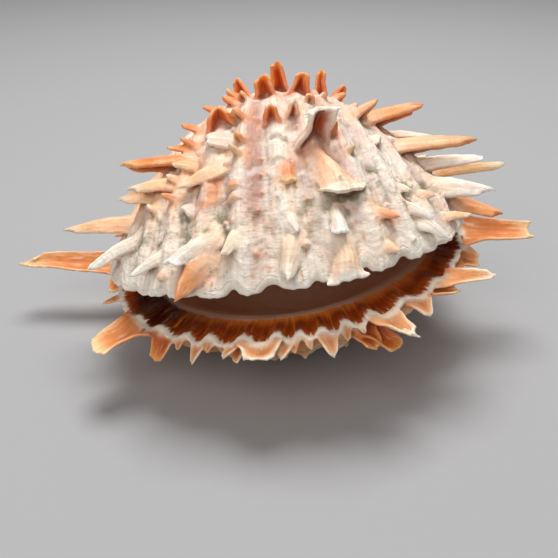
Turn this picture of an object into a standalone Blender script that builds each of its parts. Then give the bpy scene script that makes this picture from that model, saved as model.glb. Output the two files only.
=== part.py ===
"""A spiny oyster shell lying half open: a domed upper valve over a deeper lower valve.

Each valve grows as a spiral. Its margin is one flat outline, and every older growth line is that
outline made smaller and turned about the hinge, until it ends in the beak. The lower valve grew
fixed to a rock, so its bottom is cut off flat there, and that flat scar is the origin.
+X is to the right, -Y to the front, where the shell gapes, and +Z is up.
"""
import math
from collections import namedtuple

import bmesh
import bpy
from mathutils import Matrix, Vector

MM = 0.001

# Outline of the margin, seen from above
WIDTH = 93 * MM
HINGE_Y = 36 * MM
BACK_SQUARENESS = 2.7
COLUMNS = 60
WALL = 3.2 * MM

# How the pair lies: the hinge opens, then both valves tip over together
GAPE = math.radians(7)
ROLL = math.radians(-9)
PITCH = math.radians(-4)
RIM_HEIGHT = 22 * MM
HINGE_CLEARANCE = 0.6 * MM

# Ribs: a main rib every 12 degrees, the first one just right of the middle
RIB_STEP = math.radians(12)
FIRST_RIB = math.radians(3.5)
RIB_RELIEF = 0.7 * MM
SCALLOP = 0.016

# How deep a spine starts inside the wall
ROOT_DEPTH = 1.05 * MM

# Scar where the shell was fixed to its rock: its centre under the middle of the margin, and how
# deep the block is that cuts it flat
SCAR_X = -2.5 * MM
SCAR_Y = 6.3 * MM
GROUND_CUT = 30 * MM

Valve = namedtuple("Valve", "front squareness beak curl waist side")
UPPER = Valve(41 * MM, 2.15, Vector((2 * MM, 2 * MM, 8 * MM)), math.radians(112), 0.16, 1)
LOWER = Valve(42.5 * MM, 1.95, Vector((0, 2 * MM, 9 * MM)), math.radians(62), 0.10, -1)

# A spine: the angle of its rib, the growth line it stands on (1 is the margin), its length and
# width in millimetres, where it heads seen from above (0 front, 90 right), how steeply it rises,
# the width of its end against its width, and how far it bends along its length.
Spine = namedtuple("Spine", "rib growth length width heading rise end bend", defaults=(0.5, 0))

CREST_SPINES = [
    Spine(-0.5, 0.58, 6.0, 3.7, -60, 80, 1.2),
    Spine(7, 0.50, 9.5, 3.7, -30, 75, 0.9),
    Spine(17, 0.56, 6.2, 3.6, 50, 72, 1.1),
    Spine(38, 0.50, 8.0, 2.8, 180, 80, 0.9),
    Spine(48, 0.50, 6.5, 3.0, 100, 50, 0.9),
    Spine(40, 0.57, 4.4, 2.3, 95, 20, 0.7),
    Spine(27, 0.57, 1.8, 2.2, 40, 60),
    Spine(30, 0.61, 2.2, 2.0, 60, 70),
    Spine(20, 0.645, 2.6, 2.3, 30, 70, 0.9),
    Spine(10, 0.70, 5.0, 2.3, 25, 70, 0.8),
    Spine(2.5, 0.715, 5.2, 3.2, -20, 68, 0.9),
    Spine(-16, 0.50, 6.5, 3.4, -120, 60, 0.7),
    Spine(-16, 0.54, 5.4, 2.5, -100, 30, 0.7),
    Spine(-10, 0.59, 3.6, 2.5, -80, 55, 0.6),
]

LEFT_SPINES = [
    Spine(-14, 0.60, 5.5, 2.6, -95, 22, 0.6),
    Spine(-28, 0.59, 5.0, 1.9, -95, 14, 0.9),
    Spine(-25, 0.58, 2.4, 1.6, -90, 20),
    Spine(-20, 0.69, 5.0, 5.0, -30, 75, 0.8),
    Spine(-8, 0.69, 5.0, 2.5, -60, 40, 0.7),
    Spine(-31, 0.68, 6.0, 2.1, -85, 15, 0.8),
    Spine(-16, 0.74, 6.2, 4.5, -65, 8, 0.9),
    Spine(-8, 0.76, 3.6, 2.2, -60, 60, 0.7),
    Spine(-8, 0.79, 5.2, 1.8, -70, 48, 0.7),
    Spine(-17.5, 0.805, 10.0, 3.8, -65, -22, 0.4),
    Spine(-10, 0.84, 2.4, 3.6, -5, 5, 0.9),
    Spine(-10, 0.86, 2.4, 3.0, -5, 5, 0.9),
    Spine(-9, 0.89, 3.0, 2.0, -35, -20, 0.4),
    Spine(-18, 0.86, 6.5, 2.2, -42, -36, 0.5),
    Spine(-27, 0.87, 2.2, 3.4, -30, -5, 0.8),
    Spine(-34, 0.765, 16.3, 4.6, -88, -5, 0.6),
    Spine(-28, 0.785, 6.2, 2.3, -85, 2, 0.4),
    Spine(-29.5, 0.735, 5.6, 1.6, -90, 24, 0.5),
    Spine(-31, 0.74, 7.0, 2.0, -85, 3, 0.9),
    Spine(-38, 0.81, 11.3, 3.0, -82, -9, 0.5),
    Spine(-48, 0.82, 10.0, 3.6, -80, -12, 0.4),
    Spine(-32, 0.85, 4.8, 2.0, -80, 22, 0.4),
    Spine(-42.5, 0.865, 3.4, 2.0, -70, 40, 0.5),
    Spine(-34, 0.81, 3.8, 2.0, -85, 20, 0.5),
    Spine(-65, 0.875, 19.0, 4.0, -88, -8, 0.2),
    Spine(-88, 0.90, 6.0, 2.0, -95, -28, 0.3),
    Spine(-52, 0.91, 14.0, 3.4, -75, -26, 0.8, -10),
    Spine(-62, 0.945, 5.4, 1.8, -80, -2, 0.3),
    Spine(-35, 0.935, 9.8, 2.6, -62, -28, 0.5),
    Spine(-32, 0.96, 3.6, 2.2, -50, -25, 0.3),
]

FRONT_SPINES = [
    Spine(-17, 0.915, 12.0, 3.6, -60, -26, 1.2),
    Spine(-20, 0.94, 12.6, 5.0, -35, -38, 0.35),
    Spine(-9.5, 0.92, 7.0, 3.2, -25, -32, 0.4),
    Spine(5, 0.815, 7.6, 2.4, 8, -15, 1.6),
    Spine(3, 0.80, 2.6, 3.2, 5, 10, 0.9),
    Spine(3, 0.755, 3.0, 4.0, 10, 25, 0.9),
    Spine(15, 0.775, 8.5, 4.2, 60, 75, 1.8),
    Spine(15.5, 0.79, 18.0, 3.0, 29, -15, 2.3),
    Spine(27.5, 0.81, 3.4, 1.6, 60, 50),
    Spine(24.5, 0.765, 4.6, 1.4, 40, 65, 0.4),
    Spine(17.5, 0.90, 9.2, 2.8, 8, -28, 1.4),
    Spine(4, 0.90, 6.2, 3.2, 20, -26, 0.2),
    Spine(4.5, 0.935, 11.0, 4.4, -8, -38, 0.5),
    Spine(17, 0.95, 9.8, 5.2, 12, -38, 1.7),
]

RIGHT_SPINES = [
    Spine(30, 0.965, 4.2, 2.2, 50, -12, 0.3),
    Spine(30.5, 0.915, 6.3, 2.4, 62, -8, 0.3),
    Spine(45, 0.94, 9.4, 3.4, 52, -18, 0.15, -15),
    Spine(42, 0.915, 8.4, 2.6, 58, -14, 0.3),
    Spine(42, 0.88, 5.0, 2.0, 60, -10, 0.3),
    Spine(50.5, 0.90, 5.4, 2.2, 70, -6, 0.3),
    Spine(60, 0.955, 7.0, 2.0, 80, 4, 0.5),
    Spine(76, 0.93, 15.8, 4.4, 72, -20, 0.5, 15),
    Spine(66, 0.89, 15.5, 5.6, 78, -3, 0.4),
    Spine(85, 0.85, 22.0, 3.6, 95, 3, 0.5),
    Spine(70, 0.83, 19.0, 4.2, 88, 5, 0.35),
    Spine(59, 0.78, 20.5, 4.8, 85, 5, 0.4),
    Spine(65, 0.72, 13.0, 2.6, 90, -5, 0.4),
    Spine(50, 0.69, 16.0, 4.8, 85, 15, 0.5),
    Spine(40, 0.70, 8.6, 3.2, 82, 35, 0.4),
    Spine(48, 0.62, 3.0, 1.9, 90, 20),
    Spine(54, 0.77, 1.8, 2.2, 70, 30),
    Spine(42, 0.775, 3.0, 3.0, 70, 3, 0.8),
]

LOWER_SPINES = [
    Spine(-97, 0.985, 31.4, 7.0, -88, 3, 0.6),
    Spine(-88, 0.985, 4.8, 4.5, -62, -36, 0.4),
    Spine(-73, 0.99, 5.2, 1.8, -80, -14, 0.3),
    Spine(-50, 0.99, 12.6, 7.6, -55, -11, 0.7),
    Spine(-38.5, 0.985, 6.4, 4.4, -40, -42, 0.8),
    Spine(-33, 0.985, 3.2, 1.8, -18, -42, 0.3),
    Spine(-26, 0.985, 6.0, 2.6, -30, -40, 0.2, 10),
    Spine(-22.5, 0.985, 2.8, 1.7, -35, -40, 0.3),
    Spine(-15.5, 0.985, 4.8, 2.5, -46, -24, 0.2, 10),
    Spine(-14, 0.97, 4.0, 2.6, -35, -45, 0.8),
    Spine(-8, 0.99, 5.4, 7.6, -2, -10, 0.9),
    Spine(0, 0.985, 5.0, 2.6, -28, -30, 0.6),
    Spine(2, 0.985, 3.4, 1.6, -5, -32, 0.4),
    Spine(5.5, 0.985, 3.0, 1.7, 20, -36, 0.3),
    Spine(11, 0.985, 6.0, 3.2, 15, -30, 0.4),
    Spine(16.5, 0.985, 3.0, 1.9, 0, -32, 0.5),
    Spine(20.5, 0.985, 2.6, 1.7, 26, -32, 0.4),
    Spine(23, 0.955, 9.6, 5.0, 53, -15, 0.9),
    Spine(21, 0.955, 6.5, 4.6, 32, -14, 0.8),
    Spine(27, 0.99, 10.2, 5.0, 60, -14, 0.4),
    Spine(40, 0.985, 5.6, 3.8, 36, -28, 0.3),
    Spine(52, 0.99, 13.6, 4.4, 85, 11, 0.3),
    Spine(47, 0.97, 7.2, 3.6, 75, 10, 0.5),
    Spine(88, 0.985, 20.8, 6.8, 88, 4, 0.7, 8),
    Spine(70, 0.97, 6.0, 6.0, 80, -10, 0.7),
]


def outline(angle, valve):
    """A point of the margin in its own plane, at an angle from the front round to the right."""
    sine = math.sin(angle)
    cosine = math.cos(angle)
    power = 2 / (valve.squareness if cosine > 0 else BACK_SQUARENESS)
    reach = valve.front if cosine > 0 else HINGE_Y
    x = math.copysign(abs(sine) ** power, sine) * WIDTH / 2
    y = -math.copysign(abs(cosine) ** power, cosine) * reach
    return Vector((x, y, 0))


def grown(angle, growth, valve, inset=0.0):
    """A point of the valve's smooth surface before the pair is opened and tipped."""
    margin = outline(angle, valve)
    margin.x *= (1 - inset / (WIDTH / 2)) * (1 - valve.waist * (1 - growth))
    margin.y *= 1 - inset / HINGE_Y
    hinge = Vector((0, HINGE_Y - inset, 0))
    older = max(0.0, 1 - growth)
    beak = Vector((valve.beak.x, valve.beak.y, valve.side * valve.beak.z))
    curl = valve.curl * (1 - 1.3 * inset / HINGE_Y)
    turned = Matrix.Rotation(-valve.side * curl * older, 3, "X") @ (margin - hinge)
    return hinge + beak * older * (1 - 6 * inset / HINGE_Y) + turned * growth


def place(point, valve):
    """Open the upper valve about the hinge, then tip the pair as it lies."""
    if valve.side > 0:
        hinge = Vector((0, HINGE_Y, 0))
        point = hinge + Matrix.Rotation(-GAPE, 3, "X") @ (point - hinge)
        point.z += HINGE_CLEARANCE
    tipped = Matrix.Rotation(PITCH, 3, "X") @ Matrix.Rotation(ROLL, 3, "Y") @ point
    return tipped + Vector((-SCAR_X, -SCAR_Y, RIM_HEIGHT))


def surface(angle, growth, valve):
    return place(grown(angle, growth, valve), valve)


def surface_frame(angle, growth, valve):
    """The point on the surface, its direction of growth and its outward normal."""
    small = 0.01
    point = surface(angle, growth, valve)
    along = (surface(angle, growth + small, valve) - point).normalized()
    across = (surface(angle + small, growth, valve) - point).normalized()
    normal = (across.cross(along) if valve.side < 0 else along.cross(across)).normalized()
    return point, along, normal


def rib_wave(angle):
    """1 on a main rib, -1 half way to the next one."""
    return math.cos((angle - FIRST_RIB) / RIB_STEP * 2 * math.pi)


def valve_mesh(valve):
    """The bare valve: outer skin with its ribs, flat rim and smooth inner bowl, all one skin."""
    outer_growth = [0.14, 0.30, 0.45, 0.58, 0.70, 0.80, 0.88, 0.95, 1.0]
    inner_growth = [1.0, 0.93, 0.82, 0.66, 0.48]
    mesh = bmesh.new()
    rings = []
    for growth in outer_growth:
        ring = []
        for column in range(COLUMNS):
            angle = FIRST_RIB + column * 2 * math.pi / COLUMNS
            front = max(0.0, math.cos(angle)) ** 0.5
            lobe = 1 + SCALLOP * front * rib_wave(angle) * (growth == 1.0)
            point, _, normal = surface_frame(angle, growth * lobe, valve)
            relief = RIB_RELIEF * growth * rib_wave(angle) * (0.3 + 0.7 * front)
            ring.append(mesh.verts.new(point + normal * relief * (growth < 1.0)))
        rings.append(ring)
    for growth in inner_growth:
        ring = []
        for column in range(COLUMNS):
            angle = FIRST_RIB + column * 2 * math.pi / COLUMNS
            ring.append(mesh.verts.new(place(grown(angle, growth, valve, WALL), valve)))
        rings.append(ring)
    for ring, following in zip(rings, rings[1:]):
        for column in range(COLUMNS):
            beside = (column + 1) % COLUMNS
            mesh.faces.new((ring[column], ring[beside], following[beside], following[column]))
    beak = mesh.verts.new(surface(0, 0, valve))
    middle = sum((vert.co for vert in rings[-1]), Vector()) / COLUMNS
    bowl = mesh.verts.new(middle)
    for column in range(COLUMNS):
        beside = (column + 1) % COLUMNS
        mesh.faces.new((beak, rings[0][beside], rings[0][column]))
        mesh.faces.new((bowl, rings[-1][column], rings[-1][beside]))
    bmesh.ops.recalc_face_normals(mesh, faces=mesh.faces)
    return mesh


def add_spine(mesh, spine, valve):
    """One hollow-fronted spine: a folded blade from inside the wall out to its tip."""
    angle = math.radians(spine.rib)
    point, along, normal = surface_frame(angle, spine.growth, valve)
    heading = math.radians(spine.heading)
    rise = math.radians(spine.rise)
    level = Vector((math.sin(heading), -math.cos(heading), 0))
    aim = level * math.cos(rise) + Vector((0, 0, math.sin(rise)))
    hollow = along - normal
    hollow = (hollow - aim * hollow.dot(aim)).normalized()
    side = aim.cross(hollow).normalized()
    length = spine.length * MM
    half = spine.width * MM / 2
    stations = [(-ROOT_DEPTH, 1.25), (length * 0.3, 1.05), (length * 0.7, 0.5 + spine.end / 2)]
    stations.append((length, spine.end))
    if spine.length < 4:
        stations.pop(1)
    loops = []
    for distance, share in stations:
        turn = math.radians(spine.bend) * max(0.0, distance) / length
        drop = math.sin(turn) * max(0.0, distance) / 2
        centre = point - normal * ROOT_DEPTH + aim * distance - hollow * drop
        reach = half * share
        depth = 0.4 * reach
        thick = min(0.9 * MM + 0.15 * half, 1.6 * reach)
        corners = (
            centre - side * reach + hollow * depth,
            centre - hollow * depth,
            centre + side * reach + hollow * depth,
            centre + hollow * (thick - depth),
        )
        loops.append([mesh.verts.new(corner) for corner in corners])
    for loop, following in zip(loops, loops[1:]):
        for corner in range(4):
            beside = (corner + 1) % 4
            mesh.faces.new((loop[corner], loop[beside], following[beside], following[corner]))
    for loop in (loops[0], loops[-1]):
        mesh.faces.new((loop[0], loop[1], loop[3]))
        mesh.faces.new((loop[1], loop[2], loop[3]))


def hidden_spines(valve):
    """Spines on the sides that face away, in the same rows and with the same spread of sizes."""
    if valve.side > 0:
        rows = [(0.60, 6.5, 26), (0.76, 9.0, 18), (0.88, 12.0, 10)]
    else:
        rows = [(0.78, 7.5, 4), (0.89, 11.0, 2)]
    spines = []
    for count in range(20):
        rib = 99.5 + 8.2 * count
        growth, length, rise = rows[count % len(rows)]
        near_hinge = abs(rib - 180) < 48
        if near_hinge and growth > 0.61:
            continue
        swing = 8 * math.sin(5.1 * count)
        length *= (1 + 0.25 * math.sin(2.3 * count)) * (0.7 if near_hinge else 1)
        spines.append(Spine(rib, growth, length, 3.4, rib + swing, rise, 0.4))
    return spines


def new_object(name, mesh):
    data = bpy.data.meshes.new(name)
    bmesh.ops.recalc_face_normals(mesh, faces=mesh.faces)
    mesh.to_mesh(data)
    mesh.free()
    item = bpy.data.objects.new(name, data)
    bpy.context.scene.collection.objects.link(item)
    return item


def guide(name, mesh):
    item = new_object(name, mesh)
    item.hide_render = True
    item.display_type = "WIRE"
    return item


def combine(item, other, operation):
    step = item.modifiers.new(other.name, "BOOLEAN")
    step.operation = operation
    step.solver = "EXACT"
    step.use_self = operation == "UNION"
    step.object = other


def shell_material(name, colour, roughness):
    material = bpy.data.materials.new(name)
    material.use_nodes = True
    shader = material.node_tree.nodes["Principled BSDF"]
    shader.inputs["Base Color"].default_value = (*colour, 1)
    shader.inputs["Roughness"].default_value = roughness
    shader.inputs["Metallic"].default_value = 0
    return material


def make_valve(name, valve, spines, material):
    item = new_object(name, valve_mesh(valve))
    blades = bmesh.new()
    for spine in spines + hidden_spines(valve):
        add_spine(blades, spine, valve)
    combine(item, guide(name + "_spines", blades), "UNION")
    item.data.materials.append(material)
    return item


def ground_block():
    """Everything below the rock's surface, to be cut away from the lower valve."""
    mesh = bmesh.new()
    size = Matrix.Diagonal((0.3, 0.3, GROUND_CUT, 1))
    bmesh.ops.create_cube(mesh, size=1, matrix=Matrix.Translation((0, 0, -GROUND_CUT / 2)) @ size)
    return guide("rock", mesh)


def main():
    for item in list(bpy.data.objects):
        bpy.data.objects.remove(item, do_unlink=True)
    upper_spines = CREST_SPINES + LEFT_SPINES + FRONT_SPINES + RIGHT_SPINES
    cream = shell_material("cream shell", (0.74, 0.66, 0.60), 0.55)
    orange = shell_material("orange shell", (0.62, 0.25, 0.08), 0.5)
    make_valve("upper_valve", UPPER, upper_spines, cream)
    lower = make_valve("lower_valve", LOWER, LOWER_SPINES, orange)
    combine(lower, ground_block(), "DIFFERENCE")


main()
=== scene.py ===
from collections import namedtuple
from math import cos, pi, radians, sin
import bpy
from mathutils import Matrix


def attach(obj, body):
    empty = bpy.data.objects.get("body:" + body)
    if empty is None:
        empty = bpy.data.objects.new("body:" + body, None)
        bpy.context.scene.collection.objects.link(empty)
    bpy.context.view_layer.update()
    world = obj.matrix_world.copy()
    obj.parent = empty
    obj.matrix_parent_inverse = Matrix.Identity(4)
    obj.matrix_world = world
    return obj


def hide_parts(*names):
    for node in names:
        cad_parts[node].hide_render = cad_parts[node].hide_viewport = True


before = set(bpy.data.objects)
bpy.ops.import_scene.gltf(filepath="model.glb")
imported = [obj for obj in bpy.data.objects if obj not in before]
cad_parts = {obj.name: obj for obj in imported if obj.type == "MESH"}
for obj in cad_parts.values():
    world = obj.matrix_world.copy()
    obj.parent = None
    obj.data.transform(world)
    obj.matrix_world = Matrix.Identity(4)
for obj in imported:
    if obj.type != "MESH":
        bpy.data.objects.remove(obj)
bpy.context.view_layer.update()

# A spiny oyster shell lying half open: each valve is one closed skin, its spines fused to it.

from types import SimpleNamespace

import bmesh
import bpy
import numpy as np
from mathutils import Matrix, Vector, noise
from mathutils.kdtree import KDTree

MM = 0.001

# Outline and pose of the valves, as in the solids
WIDTH = 93 * MM
HINGE_Y = 36 * MM
BACK_SQUARENESS = 2.7
WALL = 3.2 * MM
GAPE = radians(7)
ROLL = radians(-9)
PITCH = radians(-4)
RIM_HEIGHT = 22 * MM
HINGE_CLEARANCE = 0.6 * MM
RIB_STEP = radians(12)
FIRST_RIB_DEGREES = 3.5
FIRST_RIB = radians(FIRST_RIB_DEGREES)
SCAR_X = -2.5 * MM
SCAR_Y = 6.3 * MM

# Degrees between two threads of the outside, teeth of the rim's comb and folds of its frill
THREAD_STEP = 1.85
COMB_STEP = 2.2
FRILL_STEP = 3.4

# The spines: how much stouter they are than in the solids, which way their hollows turn, how far
# their colour runs out into the shell, the steps along them and the lanes across them
STOUTNESS = 1.15
DOWNWARD = np.array([0, 0.05, -0.9])
VIEWER = np.array([0, -0.95, -0.3])
TINT_SPREAD = 1.9 * MM
SPINE_STEP = 0.45 * MM
LANES = np.linspace(-1, 1, 13)

# How a valve's spines are made: how deep their roots sit, how far they flare there, their wall and
# what it gains with half their width, how deep they are cupped and what share of that the root has
Gutter = namedtuple("Gutter", "root flare wall wall_share cup at_root")
# A spine's line, with its directions at each step
Axis = namedtuple("Axis", "run share length half centre tangent fold side")

# Fineness of the skins
COLUMNS = 900
OUTER_ROWS = 150
RIM_ROWS = 9
INNER_ROWS = 90
FIRST_GROWTH = 0.10
LAST_INNER = 0.30
RIM_ROUND = 0.018
RIM_SPAN = 0.04
VOXEL = 0.31 * MM
MOST_TRIANGLES = 190000

# Camera: the target's place, and where the photograph shows it
FRAME_PIXELS = 558
FOCAL_PIXELS = 673.6
TARGET = Vector((2.5, -6.3, 26)) * MM
TARGET_PIXEL = (288, 240)
CAMERA_DISTANCE = 178 * MM
CAMERA_PITCH = radians(28)

# Scallops of the margins: rib angle in degrees, how far the edge stands out or in
UPPER_LOBES = [
    (-66, 0), (-60, 0.5), (-56, -0.4), (-52, 0.7), (-46, -0.4), (-41, 0.9), (-39, 0.3),
    (-37, 0.8), (-33, -0.6), (-29, 0.9), (-23, -0.5), (-16, 1.1), (-11.5, -1.0), (-7, 0.8),
    (-2, -1.1), (5, 1.0), (8, -0.7), (11, -0.3), (15.5, 1.0), (22, -1.1), (27, 0.9), (30.5, -0.2),
    (35, -1.1), (39, 0.5), (43, -0.3), (46, 0.5), (50, -0.5), (57, 0.5), (63, -0.5), (68, 0),
]
LOWER_LOBES = [
    (-66, 0), (-60, 0.5), (-54, -0.5), (-47, 0.7), (-42, -0.6), (-36, 0.7), (-31, -0.4),
    (-27.5, 1.1), (-24, -0.8), (-18, 1.2), (-13, -0.9), (-8, 1.1), (-3.5, -1.1), (0, 0.5),
    (3.5, -0.6), (6.5, 0.8), (9.5, -0.5), (13.5, 0.9), (16.5, -0.9), (20.5, 1.0), (24.5, -1.0),
    (29, 1.2), (36, -0.8), (43, 0.8), (50, -0.5), (57, 0.7), (63, -0.5), (68, 0),
]

Valve = namedtuple(
    "Valve", "front squareness beak curl waist side lobes scallop lobe_drop gutter first_seed"
)
UPPER = Valve(
    front=41 * MM, squareness=2.15, beak=(2 * MM, 2 * MM, 8 * MM), curl=radians(112),
    waist=0.16, side=1, lobes=UPPER_LOBES, scallop=0.0075, lobe_drop=0,
    gutter=Gutter(0.8 * MM, 0.4, 0.9 * MM, 0.16, 0.6, 0.7), first_seed=0,
)
LOWER = Valve(
    front=42.5 * MM, squareness=1.95, beak=(0, 2 * MM, 9 * MM), curl=radians(62),
    waist=0.10, side=-1, lobes=LOWER_LOBES, scallop=0.011, lobe_drop=1.2 * MM,
    gutter=Gutter(0.16 * MM, 0.25, 0.6 * MM, 0.06, 0.32, 0.2), first_seed=300,
)

# A spine as in the solids, with its colouring, how ragged its tip is, how far it twists and
# how much of its hollow is bared to the front
Spine = namedtuple(
    "Spine", "rib growth length width heading rise tint end bend rag twist bared",
    defaults=(0.5, 0, 0.12, 0, 0.1),
)

CREST_SPINES = [
    Spine(-0.5, 0.58, 6, 3.7, -60, 80, "ember", 1.2),
    Spine(7, 0.50, 9.5, 3.7, -30, 75, "ember", 0.9),
    Spine(17, 0.56, 6.2, 3.6, 50, 72, "ember", 1.1),
    Spine(38, 0.50, 8, 2.8, 180, 80, "ember", 0.9),
    Spine(48, 0.50, 6.5, 3, 100, 50, "ember", 0.9),
    Spine(40, 0.57, 4.4, 2.3, 95, 20, "ember", 0.7),
    Spine(27, 0.57, 1.8, 2.2, 40, 60, "orange"),
    Spine(30, 0.61, 2.2, 2, 60, 70, "orange"),
    Spine(20, 0.645, 2.6, 2.3, 30, 70, "orange", 0.9),
    Spine(10, 0.70, 5, 2.3, 25, 70, "peach", 0.8),
    Spine(2.5, 0.715, 5.2, 3.2, -20, 68, "ember", 0.9),
    Spine(-16, 0.50, 6.5, 3.4, -120, 60, "ember", 0.7),
    Spine(-16, 0.54, 5.4, 2.5, -100, 30, "orange", 0.7),
    Spine(-10, 0.59, 3.6, 2.5, -80, 55, "orange", 0.6),
]

LEFT_SPINES = [
    Spine(-14, 0.60, 5.5, 2.6, -95, 22, "ember", 0.6),
    Spine(-28, 0.59, 5, 1.9, -95, 14, "ember", 0.9),
    Spine(-25, 0.58, 2.4, 1.6, -90, 20, "orange"),
    Spine(-20, 0.69, 5, 5, -30, 75, "ember", 0.8),
    Spine(-8, 0.69, 5, 2.5, -60, 40, "orange", 0.7),
    Spine(-31, 0.68, 6, 2.1, -85, 15, "ember", 0.8),
    Spine(-16, 0.74, 6.2, 4.5, -65, 8, "crust", 0.9),
    Spine(-8, 0.76, 3.6, 2.2, -60, 60, "orange", 0.7),
    Spine(-8, 0.79, 5.2, 1.8, -70, 48, "lemon", 0.7),
    Spine(-17.5, 0.805, 10.4, 4, -65, -20, "peach", 0.4, bared=0.55),
    Spine(-10, 0.84, 2.4, 3.6, -5, 5, "orange", 0.9),
    Spine(-10, 0.86, 2.4, 3, -5, 5, "orange", 0.9),
    Spine(-9, 0.89, 3, 2, -35, -20, "orange", 0.4),
    Spine(-18, 0.86, 6.5, 2.2, -42, -36, "orange"),
    Spine(-27, 0.87, 2.2, 3.4, -30, -5, "crust", 0.8),
    Spine(-34, 0.765, 16.3, 4.6, -88, -5, "orange", 0.6, bared=0.8),
    Spine(-28, 0.785, 6.2, 2.3, -85, 2, "lemon", 0.4),
    Spine(-29.5, 0.735, 5.6, 1.6, -90, 24, "orange"),
    Spine(-31, 0.74, 7, 2, -85, 3, "orange", 0.9),
    Spine(-38, 0.81, 11.3, 3.9, -82, -9, "peach", 0.5, bared=0.4),
    Spine(-48, 0.82, 10, 4.6, -80, -12, "peach", 0.4),
    Spine(-32, 0.85, 4.8, 2, -80, 22, "orange", 0.4),
    Spine(-42.5, 0.865, 3.4, 2, -70, 40, "peach"),
    Spine(-34, 0.81, 3.8, 2, -85, 20, "peach"),
    Spine(-65, 0.875, 19, 4.8, -88, -8, "peach", 0.2),
    Spine(-88, 0.90, 6, 2, -95, -28, "orange", 0.3),
    Spine(-52, 0.91, 14, 3.4, -75, -26, "chalk", 0.8, -10),
    Spine(-62, 0.945, 5.4, 1.8, -80, -2, "cream", 0.3),
    Spine(-35, 0.935, 9.8, 2.6, -62, -28, "chalk"),
    Spine(-32, 0.96, 3.6, 2.2, -50, -25, "peach", 0.3),
]

FRONT_SPINES = [
    Spine(-17, 0.915, 12.4, 3.8, -60, -23, "milk", 1.2, rag=0.2),
    Spine(-20, 0.94, 12.6, 5.4, -35, -38, "apricot", 0.35),
    Spine(-9.5, 0.915, 8.2, 3.2, -25, -22, "cream", 0.4, bared=0.5),
    Spine(5, 0.815, 7.6, 2.4, 8, -15, "flame", 1.6),
    Spine(3, 0.80, 2.6, 3.2, 5, 10, "peach", 0.9),
    Spine(3, 0.755, 3, 4, 10, 25, "crust", 0.9),
    Spine(15, 0.775, 11.2, 5.2, 58, 68, "crust", 1.5, rag=0.1, bared=0.8),
    Spine(15.5, 0.79, 18, 4, 27, -17, "paddle", 2.85, rag=0.06),
    Spine(27.5, 0.81, 3.4, 1.6, 60, 50, "lemon"),
    Spine(24.5, 0.765, 4.6, 1.4, 40, 65, "orange", 0.4),
    Spine(17.5, 0.895, 10.6, 2.9, 8, -18, "milk", 1.3, rag=0.2),
    Spine(4, 0.90, 7, 3.2, 20, -18, "white", 0.2),
    Spine(4.5, 0.93, 11.6, 4.4, -8, -33, "cream"),
    Spine(17, 0.95, 9.8, 5.2, 12, -38, "fan", 1.7, rag=0.2),
]

RIGHT_SPINES = [
    Spine(30, 0.965, 4.2, 2.2, 50, -12, "peach", 0.3),
    Spine(30.5, 0.915, 6.3, 2.4, 62, -8, "apricot", 0.3),
    Spine(45, 0.94, 10, 3.4, 54, -10, "chalk", 0.15, -28),
    Spine(42, 0.915, 8.4, 2.6, 58, -14, "white", 0.3),
    Spine(42, 0.88, 5, 2, 60, -10, "cream", 0.3),
    Spine(50.5, 0.90, 5.4, 2.2, 70, -6, "peach", 0.3),
    Spine(60, 0.955, 7, 2, 80, 4, "peach"),
    Spine(76, 0.93, 15.8, 4.6, 72, -20, "apricot", 0.5, 15),
    Spine(66, 0.89, 15.5, 5.6, 78, -3, "white", 0.4),
    Spine(85, 0.85, 23.6, 3.8, 95, 3, "lemon", 0.5, twist=35),
    Spine(70, 0.83, 19, 4.2, 88, 5, "chalk", 0.35, rag=0.2),
    Spine(59, 0.78, 20.5, 5, 85, 5, "tan", 0.4, bared=0.3),
    Spine(65, 0.72, 13, 2.6, 90, -5, "cream", 0.4),
    Spine(50, 0.69, 16, 5, 85, 15, "apricot", 0.5, rag=0.25, bared=0.25),
    Spine(40, 0.70, 8.6, 3.2, 82, 35, "tan", 0.4),
    Spine(48, 0.62, 3, 1.9, 90, 20, "orange"),
    Spine(54, 0.77, 1.8, 2.2, 70, 30, "cream"),
    Spine(42, 0.775, 3, 3, 70, 3, "cream", 0.8),
]

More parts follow.
